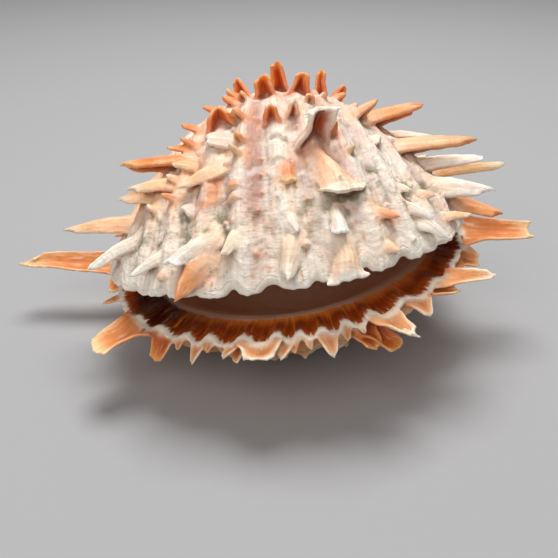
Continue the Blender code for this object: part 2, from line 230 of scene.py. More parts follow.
LOWER_SPINES = [
    Spine(-97, 0.985, 31.4, 7, -88, 3, "base", 0.6),
    Spine(-88, 0.985, 4.8, 4.5, -62, -36, "base", 0.4),
    Spine(-73, 0.99, 5.2, 1.8, -80, -14, "base", 0.3),
    Spine(-50, 0.99, 12.6, 7.6, -55, -11, "base", 0.85, rag=0.03),
    Spine(-38.5, 0.985, 6.4, 4.4, -28, -44, "amber", 0.8),
    Spine(-33, 0.985, 3.2, 1.8, -18, -42, "base", 0.3),
    Spine(-26, 0.985, 6, 2.6, -30, -40, "pale", 0.2, 10),
    Spine(-22.5, 0.985, 2.8, 1.7, -35, -40, "base", 0.3),
    Spine(-15.5, 0.985, 4.8, 2.5, -46, -24, "pale", 0.2, 10),
    Spine(-14, 0.97, 4, 2.6, -35, -45, "base", 0.8),
    Spine(-8, 0.99, 5.4, 6.6, -2, -12, "pale", 0.9, rag=0.2),
    Spine(0, 0.985, 5, 2.6, -28, -30, "pale", 0.6),
    Spine(2, 0.985, 3.4, 1.6, -5, -32, "base", 0.4),
    Spine(5.5, 0.985, 3, 1.7, 20, -36, "pale", 0.3),
    Spine(11, 0.985, 6, 3.2, 15, -30, "pale", 0.4),
    Spine(16.5, 0.985, 3, 1.9, 0, -32, "base"),
    Spine(20.5, 0.985, 2.6, 1.7, 26, -32, "pale", 0.4),
    Spine(23, 0.955, 9.6, 5, 53, -15, "amber", 0.9),
    Spine(21, 0.955, 6.5, 4.6, 32, -14, "amber", 0.8),
    Spine(27, 0.99, 10.2, 5, 60, -14, "pale", 0.4, rag=0.3),
    Spine(40, 0.985, 5.6, 3.8, 36, -28, "pale", 0.3),
    Spine(52, 0.99, 13.6, 4.4, 85, 11, "pale", 0.3, twist=30),
    Spine(47, 0.97, 7.2, 3.6, 75, 10, "base"),
    Spine(88, 0.985, 21.4, 7.2, 88, 4, "base", 0.75, 8, rag=0.2),
    Spine(70, 0.97, 6, 6, 80, -10, "base", 0.7),
]

# Small scales on the riblets either side of the middle: rib angle and growth
NUBS = [
    (-1.5, 0.80), (-2, 0.83), (-2, 0.86), (-3.5, 0.887), (-13, 0.87), (-13, 0.90),
    (9.5, 0.84), (10, 0.88), (22, 0.86), (23, 0.91), (33, 0.86), (35, 0.91),
]

# Orange specks on the riblets near the margin: rib angle and growth
SPECKS = [
    (-3, 0.935), (-3.4, 0.948), (-3, 0.958), (-4.5, 0.952), (-5.5, 0.97), (-5, 0.96), (-0.5, 0.925),
    (-1, 0.94), (-1, 0.96), (-1.5, 0.975), (-5, 0.91), (-3.2, 0.972), (-3.4, 0.984), (-1.3, 0.91),
    (9.5, 0.93), (9.7, 0.945), (11, 0.95), (10, 0.915), (10.4, 0.90), (22.6, 0.93), (23.4, 0.95),
    (-11, 0.95), (-12, 0.965), (35, 0.94), (34, 0.955), (-25, 0.93), (-26, 0.95), (46, 0.95),
]

# Mauve bands between the ribs: rib angle, how far they spread and how strong they are
MAUVE_BANDS = [
    (-26, 3, 0.45), (-13, 2.4, 0.6), (-4.5, 3.2, 1.1), (11, 3.2, 0.7), (24, 4, 0.7), (35, 4, 0.4),
]

# Orange stains: rib angle, growth, how far they spread in each and how strong they are
STAINS = [
    (-19, 0.855, 2.2, 0.035, 1.0), (-24, 0.82, 2, 0.03, 0.7), (-16.5, 0.84, 1.6, 0.018, 1.2),
]

# Where dirt has settled, in the same way
GRIME_SPOTS = [
    (22, 0.87, 6, 0.04, 1.1), (33, 0.855, 8, 0.04, 1.3), (45, 0.9, 9, 0.04, 0.9),
    (-23, 0.89, 4, 0.05, 1.0), (-14, 0.91, 3, 0.04, 0.7), (60, 0.85, 9, 0.06, 0.6),
    (-40, 0.91, 9, 0.04, 0.9), (10, 0.90, 3, 0.03, 0.7),
]

# Colours of a spine as 8-bit screen values: root, middle, tip, inside of the hollow (partly its own
# colour, partly painted shade)
TINTS = {
    "ember": ((224, 144, 100), (237, 124, 38), (244, 150, 66), (216, 90, 18)),
    "flame": ((224, 128, 58), (238, 124, 40), (250, 196, 132), (186, 66, 14)),
    "orange": ((226, 152, 98), (228, 128, 54), (242, 174, 104), (164, 56, 12)),
    "lemon": ((236, 174, 120), (238, 190, 134), (250, 236, 194), (172, 78, 28)),
    "peach": ((246, 200, 160), (250, 192, 142), (252, 232, 204), (190, 82, 34)),
    "tan": ((246, 204, 168), (244, 186, 138), (222, 150, 82), (178, 80, 30)),
    "apricot": ((242, 190, 146), (242, 166, 106), (230, 134, 62), (168, 70, 24)),
    "paddle": ((220, 136, 80), (243, 192, 150), (251, 234, 210), (188, 92, 40)),
    "fan": ((243, 216, 190), (247, 212, 180), (251, 246, 236), (214, 146, 98)),
    "crust": ((238, 212, 192), (240, 216, 196), (246, 238, 224), (176, 72, 20)),
    "cream": ((244, 216, 186), (250, 230, 204), (254, 248, 232), (184, 98, 50)),
    "chalk": ((246, 230, 208), (250, 242, 226), (254, 251, 242), (178, 98, 52)),
    "milk": ((247, 214, 182), (251, 240, 225), (255, 254, 251), (206, 140, 96)),
    "white": ((240, 206, 176), (246, 236, 222), (254, 252, 248), (200, 136, 94)),
    "base": ((208, 120, 56), (226, 144, 78), (250, 214, 162), (214, 132, 68)),
    "amber": ((204, 104, 40), (214, 122, 48), (234, 160, 84), (198, 98, 32)),
    "pale": ((228, 154, 92), (244, 206, 160), (252, 244, 226), (228, 158, 100)),
}

# How much of a spine's half width its hollow is filled in, by tint
FULLNESS = {
    "chalk": 1.0, "white": 0.75, "milk": 0.75, "cream": 0.5, "peach": 0.4, "tan": 0.4,
    "lemon": 0.35, "fan": 0.3, "apricot": 0.3,
}

# How far the corners of a spine's end are rounded and its end slants, as shares of its length
ROUNDING = {"paddle": 0.20, "crust": 0.0}
PLAIN_ROUNDING = 0.10
SLANT = {"crust": 0.2}

# Colours of the shell and its lining
SKIN = (236, 227, 214)
MAUVE = (176, 130, 118)
BLUSH = (238, 192, 158)
EMBERS = (222, 140, 88)
PEACH = (240, 186, 142)
STAIN = (206, 122, 68)
RIM_WHITE = (240, 229, 212)
PORCELAIN = (242, 204, 172)
WARM_PORCELAIN = (234, 190, 156)
BAND = (206, 92, 20)
BAND_MIDDLE = (134, 48, 12)
# Painted light on the band next to the porcelain
BAND_PAINTED_LIGHT = (255, 146, 52)
UPPER_BAND = (214, 150, 110)
DARK_RAY = (86, 26, 6)
BRIGHT_RAY = (222, 132, 52)
MAROON = (62, 9, 3)
LOWER_SKIN = (206, 132, 78)
LOWER_PALE = (228, 190, 150)
SCAR = (214, 206, 192)

# Colours of fine markings, and of the painted shade in the hollows
SPECK = (200, 118, 60)
THREAD = (196, 160, 146)
GROWTH_LINE = (192, 172, 152)
LOWER_LINE = (150, 70, 26)
CHALK = (240, 234, 226)
DIRT = (124, 120, 88)
CRACK = (124, 110, 78)
PIT = (176, 134, 100)
PALE_STREAK = (250, 240, 222)
DARK_STREAK = (190, 100, 44)
# Painted shade for the hollows of the mesh
PAINTED_HOLLOW_SHADE = (178, 146, 124)
CREST = (252, 244, 232)

# How many pits lie side by side in a metre
PIT_SCALE = 1100

# Floor and light: a lamp's name, place, size, power and colour
FLOOR_SIZE = 2.0
FLOOR_GREY = (0.36, 0.36, 0.37)
SKY_STRENGTH = 0.27
LAMPS = [
    ("window", (0.03, 0.22, 0.80), 0.42, 7.0, (1.0, 0.995, 0.98)),
    ("room", (-0.22, -0.56, 0.56), 0.6, 2.4, (1.0, 0.98, 0.95)),
]


def linear(colour):
    """A screen colour as Blender's linear values."""
    share = np.asarray(colour, float) / 255
    return np.where(share <= 0.04045, share / 12.92, ((share + 0.055) / 1.055) ** 2.4)


def paint(colour):
    """A screen colour for a node's socket."""
    return tuple(linear(colour))


def smooth(value, low, high):
    share = np.clip((value - low) / (high - low), 0, 1)
    return share * share * (3 - 2 * share)


def mixed(first, second, share):
    share = np.asarray(share)[..., None]
    return first * (1 - share) + second * share


def bump(value, centre, spread):
    return np.exp(-(((value - centre) / spread) ** 2))


def unit(vectors):
    return vectors / np.maximum(np.linalg.norm(vectors, axis=-1, keepdims=True), 1e-12)


def rough_noise(points, wavelength, seed):
    """Smooth noise from about -1 to 1 at each point."""
    shift = Vector((seed * 3.7, seed * 1.3, seed * 2.1))
    sample = noise.noise
    return np.array([sample(Vector(p) / wavelength + shift) for p in points.tolist()])


# The shape of a valve


def rib_wave(angle, times=1):
    """1 on a rib and -1 between two, or so many times as often."""
    return np.cos((angle - FIRST_RIB) / RIB_STEP * 2 * np.pi * times)


def outline(angle, valve):
    sine, cosine = np.sin(angle), np.cos(angle)
    power = 2 / np.where(cosine > 0, valve.squareness, BACK_SQUARENESS)
    reach = np.where(cosine > 0, valve.front, HINGE_Y)
    across = np.sign(sine) * np.abs(sine) ** power * WIDTH / 2
    return across, -np.sign(cosine) * np.abs(cosine) ** power * reach


def grown(angle, growth, valve, inset=0.0):
    x, y = outline(angle, valve)
    x = x * (1 - inset / (WIDTH / 2)) * (1 - valve.waist * (1 - growth))
    y = y * (1 - inset / HINGE_Y) - (HINGE_Y - inset)
    older = np.maximum(0, 1 - growth)
    curl = -valve.side * valve.curl * (1 - 1.3 * inset / HINGE_Y) * older
    share = older * (1 - 6 * inset / HINGE_Y)
    return np.stack(
        [
            valve.beak[0] * share + x * growth,
            HINGE_Y - inset + valve.beak[1] * share + y * np.cos(curl) * growth,
            valve.side * valve.beak[2] * share + y * np.sin(curl) * growth,
        ],
        axis=-1,
    )


def place(points, valve):
    if valve.side > 0:
        hinge = np.array([0, HINGE_Y, 0])
        points = hinge + (points - hinge) @ np.array(Matrix.Rotation(-GAPE, 3, "X")).T
        points = points + np.array([0, 0, HINGE_CLEARANCE])
    tip = Matrix.Rotation(PITCH, 3, "X") @ Matrix.Rotation(ROLL, 3, "Y")
    return points @ np.array(tip).T + np.array([-SCAR_X, -SCAR_Y, RIM_HEIGHT])


def surface_frame(angle, growth, valve):
    small = 0.01
    point = place(grown(angle, growth, valve), valve)
    along = unit(place(grown(angle, growth + small, valve), valve) - point)
    across = unit(place(grown(angle + small, growth, valve), valve) - point)
    return point, along, unit(np.cross(along, across) * valve.side)


def margin_lobes(angle, valve):
    """How far the margin stands out: listed in front, a scallop for each rib elsewhere."""
    degrees = np.degrees(angle)
    near = np.zeros_like(degrees)
    for (left, low), (right, high) in zip(valve.lobes, valve.lobes[1:]):
        inside = (degrees >= left) & (degrees < right)
        turn = (1 - np.cos(np.pi * (degrees - left) / (right - left))) / 2
        near = np.where(inside, low + (high - low) * turn, near)
    near = 1 - 2 * np.clip((1 - near) / 2, 0, 1.2) ** 1.5
    far = 0.7 * rib_wave(angle) * smooth(np.abs(degrees), 66, 76)
    return np.where(np.abs(degrees) < 66, near, far)


def outer_relief(angle, growth, points):
    """Ribs, riblets, ledges of growth and lumps of the outside, in metres along the normal."""
    front = np.maximum(0, np.cos(angle)) ** 0.5
    wave = rib_wave(angle)
    swirl = rough_noise(points, 9 * MM, 1)
    patchy = rough_noise(points, 5 * MM, 4)
    rib = 0.8 * growth * (wave + 0.3 * wave**2) * (0.35 + 0.65 * front) * (1 + 0.35 * swirl)
    riblet = 0.10 * growth * rib_wave(angle, 5) * smooth(patchy, -0.3, 0.4)
    phase = growth * 15 + 0.9 * swirl + 0.35 * wave + 0.3 * patchy
    step = phase - np.floor(phase)
    ledge = 0.42 * growth**2 * (step**1.5 - smooth(step, 0.86, 1.0))
    ledge *= 1 - smooth(growth, 0.93, 0.965)
    lumps = 0.5 * rough_noise(points, 6 * MM, 2) + 0.3 * rough_noise(points, 2.4 * MM, 3)
    return (rib + riblet + ledge + lumps * growth) * MM


def profile_rows():
    """The rows of a valve's skin from beak to deep inside: growth, inset and profile coordinate."""
    rows = []
    for growth in np.linspace(FIRST_GROWTH, 1 - RIM_ROUND, OUTER_ROWS):
        rows.append((growth, 0.0, growth))
    for count in range(1, RIM_ROWS + 1):
        turn = pi * count / (RIM_ROWS + 1)
        growth = 1 - RIM_ROUND + RIM_ROUND * sin(turn)
        rows.append((growth, WALL * (1 - cos(turn)) / 2, 1 + RIM_SPAN * turn / pi))
    for growth in np.linspace(1 - RIM_ROUND, LAST_INNER, INNER_ROWS):
        rows.append((growth, WALL, 1 + RIM_SPAN + 1 - RIM_ROUND - growth))
    return rows


def flange_lift(angle, growth):
    """How far the lower valve's shallow inner band stands up behind its rim."""
    older = 1 - growth
    lift = np.interp(
        older,
        [0, 0.018, 0.06, 0.11, 0.15, 0.20, 0.30, 0.40, 0.50, 0.60],
        [0, 0.3, 3.0, 5.6, 6.8, 7.0, 5.2, 2.6, 0.6, 0],
    )
    front = np.maximum(0, np.cos(angle))
    back = smooth(-np.cos(angle), 0.0, 0.5)
    return lift * (0.5 + 0.5 * front) * (1 - back) * MM


def band_end(angle):
    """Where the coloured band ends inside, as a share of growth lost from the rim."""
    at = [-180, -75, -52, -20, 45, 82, 180]
    return np.interp(np.degrees(angle), at, [0.11, 0.155, 0.12, 0.105, 0.105, 0.10, 0.08])


class Skin:
    """Points with what is known at each, and the faces between them."""

    def __init__(self):
        self.points, self.faces, self.facts, self.total = [], [], {}, 0

    def add(self, points, faces, **facts):
        self.points.append(points)
        self.faces.extend(tuple(int(i) + self.total for i in face) for face in faces)
        for name, value in facts.items():
            shape = (len(points),) + np.shape(value)[1:]
            self.facts.setdefault(name, []).append(np.broadcast_to(value, shape))
        self.total += len(points)

    def joined(self):
        facts = {name: np.concatenate(parts) for name, parts in self.facts.items()}
        return np.concatenate(self.points), facts


def grid_faces(rows, columns):
    """Quads of a grid that closes on itself across its columns."""
    row, column = np.meshgrid(np.arange(rows - 1), np.arange(columns), indexing="ij")
    beside = (column + 1) % columns
    corners = [row * columns + column, row * columns + beside]
    corners += [(row + 1) * columns + beside, (row + 1) * columns + column]
    return [tuple(face) for face in np.stack(corners, axis=-1).reshape(-1, 4).tolist()]


def rim_relief(angle, profile, lobes):
    """Comb teeth inside the rim and the frill along it, in metres along the normal."""
    degrees = np.degrees(angle)
    depth = profile - 1 - RIM_SPAN
    comb = 0.08 * MM * np.cos(degrees / COMB_STEP * 2 * np.pi)
    comb = comb * smooth(depth, -0.01, 0.005) * (1 - smooth(depth, 0.02, 0.04))
    frill = (0.10 + 0.10 * np.sin(5.3 * angle) * np.sin(17 * angle)) * MM
    frill = frill * np.cos(degrees / FRILL_STEP * 2 * np.pi + 2 * lobes)
    return comb + frill * smooth(profile, 0.97, 1.0) * (1 - smooth(profile, 1.03, 1.06))


def shell_skin(valve):
    """A valve's own skin, closed over the beak and in the middle of the bowl."""
    angles = FIRST_RIB + np.arange(COLUMNS) * 2 * pi / COLUMNS
    angles = np.where(angles > pi, angles - 2 * pi, angles)
    lobes = margin_lobes(angles, valve)
    rows = profile_rows()
    layers = []
    for growth, inset, coordinate in rows:
        edge = smooth(growth, 0.90, 0.99)
        points = grown(angles, growth * (1 + valve.scallop * lobes * edge), valve, inset)
        if valve.side < 0 and coordinate > 1 + RIM_SPAN * 0.9:
            points[:, 2] += flange_lift(angles, growth)
        points[:, 2] -= valve.lobe_drop * lobes * edge
        layers.append(place(points, valve))
    grid = np.stack(layers)
    profile = np.repeat([[row[2]] for row in rows], COLUMNS, axis=1)
    angle = np.broadcast_to(angles, profile.shape)
    across = np.roll(grid, -1, axis=1) - np.roll(grid, 1, axis=1)
    along = np.gradient(grid, axis=0)
    normal = unit(np.cross(along, across) * valve.side)
    outer = profile < 1
    shift = np.zeros_like(profile)
    shift[outer] = outer_relief(angle[outer], profile[outer], grid[outer])
    shift = shift * (1 - smooth(profile, 0.93, 1)) + rim_relief(angle, profile, lobes)
    points = (grid + normal * shift[..., None]).reshape(-1, 3)
    beak = place(grown(np.array([0.0]), np.array([0.0]), valve), valve)
    bowl = points[-COLUMNS:].mean(axis=0, keepdims=True)
    faces = grid_faces(len(rows), COLUMNS)
    last = len(points) - COLUMNS
    for column in range(COLUMNS):
        beside = (column + 1) % COLUMNS
        faces.append((len(points), beside, column))
        faces.append((len(points) + 1, last + column, last + beside))
    run = along / np.gradient(profile, axis=0)[..., None]
    skin = Skin()
    skin.add(
        np.concatenate([points, beak, bowl]), faces,
        angle=np.append(angle, [0.0, 0.0]), profile=np.append(profile, [0.0, profile[-1, 0] + 0.2]),
        across=np.concatenate([across.reshape(-1, 3) / (4 * pi / COLUMNS), np.ones((2, 3))]),
        along=np.concatenate([run.reshape(-1, 3), np.ones((2, 3))]),
    )
    return skin


# The spines


def wander(steps, seed, kind):
    """Smooth noise along a line of steps, another for each spine and kind."""
    none = np.zeros_like(steps)
    return rough_noise(np.stack([steps, none, none + seed], 1), 1.0, kind)


def evened(line, reach):
    """A line of points, each the mean of those within reach steps of it."""
    beyond = line[-1:] + np.outer(np.arange(1, reach + 1), line[-1] - line[-2])
    padded = np.concatenate([np.repeat(line[:1], reach, 0), line, beyond])
    return np.stack([padded[i : i + len(line)] for i in range(2 * reach + 1)]).mean(axis=0)


def spine_axis(spine, valve, seed):
    """The line that a spine follows out of its rib, and which way its hollow faces along it."""
    angle = np.array(radians(spine.rib))
    point, along, normal = surface_frame(angle, np.array(spine.growth), valve)
    heading, rise = radians(spine.heading), radians(spine.rise)
    level = cos(rise)
    aim = np.array([sin(heading) * level, -cos(heading) * level, sin(rise)])
    hollow = unit(along - normal)
    if valve.side > 0:
        turned = DOWNWARD + (VIEWER - DOWNWARD) * spine.bared
        hollow = hollow + turned * abs(sin(heading)) * level
    hollow = unit(hollow - aim * hollow.dot(aim))
    length, half = spine.length * MM, spine.width * MM / 2 * STOUTNESS
    tail = min(3.4 * half, 0.8 * length + 1 * MM)
    run = np.linspace(-tail, length, max(10, int((length + tail) / SPINE_STEP)))
    forward, backward = np.maximum(run, 0), np.minimum(run, 0)[:, None]
    share = forward / length
    rooted = valve.gutter.root * (1 - smooth(share, 0, 0.4)) + smooth(-run, 0, tail) * 0.8 * MM
    bent = np.sin(np.radians(spine.bend) * share) * forward / 2
    centre = point + along * backward - normal * (backward**2 * 14 + rooted[:, None])
    centre = centre + aim * forward[:, None] - hollow * bent[:, None]
    centre = evened(centre, max(1, int(1.2 * MM / (run[1] - run[0]))))
    bows = wander(share * 2.3, seed, seed % 7) * 0.05 * length * share * (1 - share) * 4
    centre = centre + np.cross(aim, hollow) * bows[:, None]
    tangent = unit(np.gradient(centre, axis=0))
    fold = unit(hollow - tangent * (tangent @ hollow)[:, None])
    side = np.cross(tangent, fold)
    twist = (np.radians(spine.twist) * share)[:, None]
    turned_fold = fold * np.cos(twist) + side * np.sin(twist)
    turned_side = side * np.cos(twist) - fold * np.sin(twist)
    return Axis(run, share, length, half, centre, tangent, turned_fold, turned_side)


def spine_reach(spine, axis, flare, seed):
    """Half the width of a spine along its run, flared at the root."""
    share, run = axis.share, axis.run
    width = np.interp(share, [0, 0.3, 0.7, 1], [1.25, 1.05, 0.5 + spine.end / 2, spine.end])
    width = width + flare * bump(run, 0, 2.6 * MM) * min(1, spine.length / 6)
    width = width * (0.7 + 0.3 * smooth(run, run[0], 0))
    width = width * (1 + 0.07 * wander(run / MM / 2.2, seed, 4))
    if spine.end < 0.7:
        width = width * np.sqrt(1 - np.clip((share - 0.9) / 0.1, 0, 1) ** 2 * 0.75)
    return axis.half * width


def spine_rings(spine, axis, gutter, seed):
    """Rings of points along a spine: its outer side and then, the other way, its hollow."""
    share, length, lanes = axis.share, axis.length, LANES[None, :]
    reach = spine_reach(spine, axis, gutter.flare, seed)
    notch = spine.rag * np.clip(0.5 + 1.1 * wander(LANES * 2.1, seed, 5), 0, 1.4)
    notch = notch + ROUNDING.get(spine.tint, PLAIN_ROUNDING) * LANES**2
    notch = notch + SLANT.get(spine.tint, 0) * (1 - LANES)
    blunt = spine.end > 0.8
    wall = min(gutter.wall + gutter.wall_share * axis.half, 0.25 * length + 0.6 * MM)
    filled = FULLNESS.get(spine.tint, 0) * reach * (1 - 0.5 * blunt)
    wall = np.maximum(np.minimum(wall, 1.6 * reach), filled)
    wall = (wall * (1 - 0.15 * smooth(share, 0.3, 1)))[:, None] * (1 - 0.15 * lanes**2)
    cup = gutter.cup - (0.3 if spine.end < 1.5 else 0.45) * smooth(share, 0.45, 1) * blunt
    cup = (cup * (gutter.at_root + (1 - gutter.at_root) * smooth(share, 0, 0.35)))[:, None]
    height = reach[:, None] * cup * (2 * lanes**2 - 1)
    slope = 4 * cup * lanes
    lean = np.sqrt(1 + slope**2)
    pull = smooth(share, 0.72, 1.0)[:, None] * notch[None, :] * length
    spread = reach[:, None] * lanes
    tangent, fold, side = (vectors[:, None] for vectors in (axis.tangent, axis.fold, axis.side))
    base = axis.centre[:, None] - tangent * pull[..., None] + side * spread[..., None]
    outer = base + fold * height[..., None]
    inward = np.minimum(wall * np.abs(slope) / lean, 0.95 * np.abs(spread))
    inner = base - side * (np.sign(spread) * inward)[..., None]
    inner = inner + fold * (height + wall / lean)[..., None]
    return np.concatenate([outer, inner[:, ::-1]], axis=1)


def spine_tone(spine, reached, across, facing):
    """A spine's colour: by how far along it is, darker in the hollow (partly its own colour, partly
    painted shade that fades towards the tip) and paler on the lips.
    """
    root, middle, tip, inside = (linear(colour) for colour in TINTS[spine.tint])
    tone = mixed(mixed(root, middle, smooth(reached, 0, 0.5)), tip, smooth(reached, 0.55, 1))
    lip = smooth(np.abs(across), 0.62, 1.0)
    # Inside of the hollow near the root: partly the spine's own colour, partly painted shade
    tone = mixed(tone, inside, facing * (1 - smooth(reached, 0.45, 0.95)) * (1 - 0.7 * lip))
    return mixed(tone, tip, 0.45 * lip * smooth(reached, 0.1, 0.6))


def blade(skin, spine, valve, seed):
    """One hollow-fronted spine: it rises out of its rib, folds round its hollow and ends ragged."""
    axis = spine_axis(spine, valve, seed)
    rings = spine_rings(spine, axis, valve.gutter, seed)
    rows, columns = rings.shape[:2]
    faces = grid_faces(rows, columns)
    for row in (0, (rows - 1) * columns):
        for lane in range(len(LANES) - 1):
            facing = columns - 1 - lane
            faces.append((row + lane, row + lane + 1, row + facing - 1, row + facing))
    reached = np.repeat(axis.run / axis.length, columns)
    across = np.tile(np.concatenate([LANES, LANES[::-1]]), rows)
    facing = np.tile(np.repeat([0.0, 1.0], len(LANES)), rows)
    skin.add(
        rings.reshape(-1, 3), faces, tone=spine_tone(spine, reached, across, facing),
        reached=reached, lane=across, metres=np.repeat(axis.run, columns),
        seed=np.full(rows * columns, seed % 97),
        bulk=np.full(rows * columns, smooth(spine.length, 2.0, 6.0)),
    )


def hidden_spines(valve):
    """Spines on the sides that face away, in the same rows, with smaller ones between them."""
    if valve.side > 0:
        rows = [(0.60, 6.5, 26), (0.76, 9.0, 18), (0.88, 12.0, 10)]
        tints = ["ember", "orange", "peach", "cream", "lemon"]
    else:
        rows = [(0.78, 7.5, 4), (0.89, 11.0, 2)]
        tints = ["base", "pale", "base"]
    spines = []
    for count in range(20):
        rib = 99.5 + 8.2 * count
        growth, length, rise = rows[count % len(rows)]
        near_hinge = abs(rib - 180) < 48
        if near_hinge and growth > 0.61:
            continue
        swing = 8 * sin(5.1 * count)
        length *= (1 + 0.25 * sin(2.3 * count)) * (0.7 if near_hinge else 1)
        tint = tints[(count * 7) % len(tints)]
        spines.append(Spine(rib, growth, length, 3.4, rib + swing, rise, tint, 0.4))
    return spines


def small_scales(valve):
    """Low scales on the ribs and riblets, in no strict order."""
    draw = np.random.default_rng(5 if valve.side > 0 else 6)
    scales = []
    if valve.side > 0:
        for rib, growth in NUBS:
            scales.append(Spine(rib, growth, 0.9, 1.0, rib, 2, "flame", 0.5))
    for count in range(120 if valve.side > 0 else 110):
        rib = draw.uniform(-180, 180)
        rib = FIRST_RIB_DEGREES + 4 * round((rib - FIRST_RIB_DEGREES) / 4) + draw.normal(0, 0.5)
        growth = draw.uniform(0.5, 0.97)
        length = draw.uniform(0.9, 2.2)
        width = draw.uniform(0.9, 1.7)
        if abs(rib) > 130 and growth > 0.8:
            continue
        options = ["peach", "cream", "orange", "crust"] if valve.side > 0 else ["base", "pale"]
        tint = options[int(draw.integers(len(options)))]
        rise = draw.uniform(-5, 24) if valve.side > 0 else draw.uniform(-50, -10)
        scales.append(Spine(rib, growth, length, width, rib, rise, tint, 0.6))
    return scales


# From the skins to one closed mesh


def new_object(name, data):
    made = bpy.data.objects.new(name, data)
    bpy.context.scene.collection.objects.link(made)
    return made


def new_mesh(name, points, faces):
    mesh = bpy.data.meshes.new(name)
    mesh.from_pydata([tuple(p) for p in points], [], faces)
    mesh.update()
    return mesh


def fused(name, skins):
    """The skins grown together into one closed mesh, thinned to a number that can be handled."""
    points = np.concatenate([skin.joined()[0] for skin in skins])
    faces, start = [], 0
    for skin in skins:
        faces.extend(tuple(i + start for i in face) for face in skin.faces)
        start += skin.total
    piece = new_object(name, new_mesh(name, points, faces))
    grow = piece.modifiers.new("grow", "REMESH")
    grow.mode = "VOXEL"
    grow.voxel_size = VOXEL
    grow.adaptivity = 0
    apply_all(piece)
    even = piece.modifiers.new("even", "SMOOTH")
    even.factor = 0.5
    even.iterations = 7
    piece.data.calc_loop_triangles()
    triangles = len(piece.data.loop_triangles)
    thin = piece.modifiers.new("thin", "DECIMATE")
    thin.ratio = min(1.0, MOST_TRIANGLES / triangles)
    apply_all(piece)
    return piece


def apply_all(piece):
    graph = bpy.context.evaluated_depsgraph_get()
    shape = bpy.data.meshes.new_from_object(piece.evaluated_get(graph))
    old = piece.data
    piece.modifiers.clear()
    piece.data = shape
    shape.name = old.name.split(".")[0]
    bpy.data.meshes.remove(old)


def positions(mesh):
    flat = np.zeros(len(mesh.vertices) * 3)
    mesh.vertices.foreach_get("co", flat)
    return flat.reshape(-1, 3)


def vertex_normals(mesh):
    flat = np.zeros(len(mesh.vertices) * 3, np.float32)
    mesh.vertex_normals.foreach_get("vector", flat)
    return flat.reshape(-1, 3).astype(float)


def neighbour_mean(mesh):
    """A function that gives each vertex the mean of its neighbours."""
    ends = np.zeros(len(mesh.edges) * 2, int)
    mesh.edges.foreach_get("vertices", ends)
    ends = ends.reshape(-1, 2)
    tails = np.concatenate([ends[:, 0], ends[:, 1]])
    heads = np.concatenate([ends[:, 1], ends[:, 0]])
    total = len(mesh.vertices)
    count = np.maximum(np.bincount(tails, minlength=total), 1)

    def mean(values):
        if values.ndim == 1:
            return np.bincount(tails, weights=values[heads], minlength=total) / count
        return np.stack([mean(values[:, axis]) for axis in range(values.shape[1])], axis=1)

    return mean


def tree_of(points):
    tree = KDTree(len(points))
    for index, point in enumerate(points.tolist()):
        tree.insert(point, index)
    tree.balance()
    return tree


def nearest(tree, points):
    found = [tree.find(point)[1:] for point in points.tolist()]
    return np.array([f[0] for f in found]), np.array([f[1] for f in found])


def shell_facts(points, skin):
    """Rib angle and profile coordinate at each point, from the nearest point of the skin."""
    spots, facts = skin.joined()
    index, distance = nearest(tree_of(spots), points)
    offset = points - spots[index]
    across, along = facts["across"][index], facts["along"][index]
    aa, bb, ab = (across**2).sum(1), (along**2).sum(1), (across * along).sum(1)
    pa, pb = (offset * across).sum(1), (offset * along).sum(1)
    det = np.maximum(aa * bb - ab * ab, 1e-14)
    turn = np.clip((pa * bb - pb * ab) / det, -0.02, 0.02)
    step = np.clip((pb * aa - pa * ab) / det, -0.02, 0.02)
    return facts["angle"][index] + turn, facts["profile"][index] + step, distance


def spine_facts(points, skin):
    """What the nearest points of the spines say, weighed by distance."""
    spots, facts = skin.joined()
    tree = tree_of(spots)
    found = [tree.find_n(point, 3) for point in points.tolist()]
    index = np.array([[f[1] for f in three] for three in found])
    distance = np.array([[f[2] for f in three] for three in found])
    weight = 1 / (distance + 0.05 * MM) ** 2
    weight /= weight.sum(axis=1, keepdims=True)
    result = {"seed": facts.pop("seed")[index[:, 0]]}
    for name, values in facts.items():
        near = values[index]
        result[name] = (near * (weight[..., None] if near.ndim == 3 else weight)).sum(axis=1)
    return result, distance[:, 0]


# Colours of the shell itself


def spotted(table, degrees, profile):
    """How strongly soft spots of a table cover each point."""
    total = np.zeros_like(degrees)
    for rib, growth, wide, tall, strength in table:
        total += strength * bump(degrees, rib, wide) * bump(profile, growth, tall)
    return total


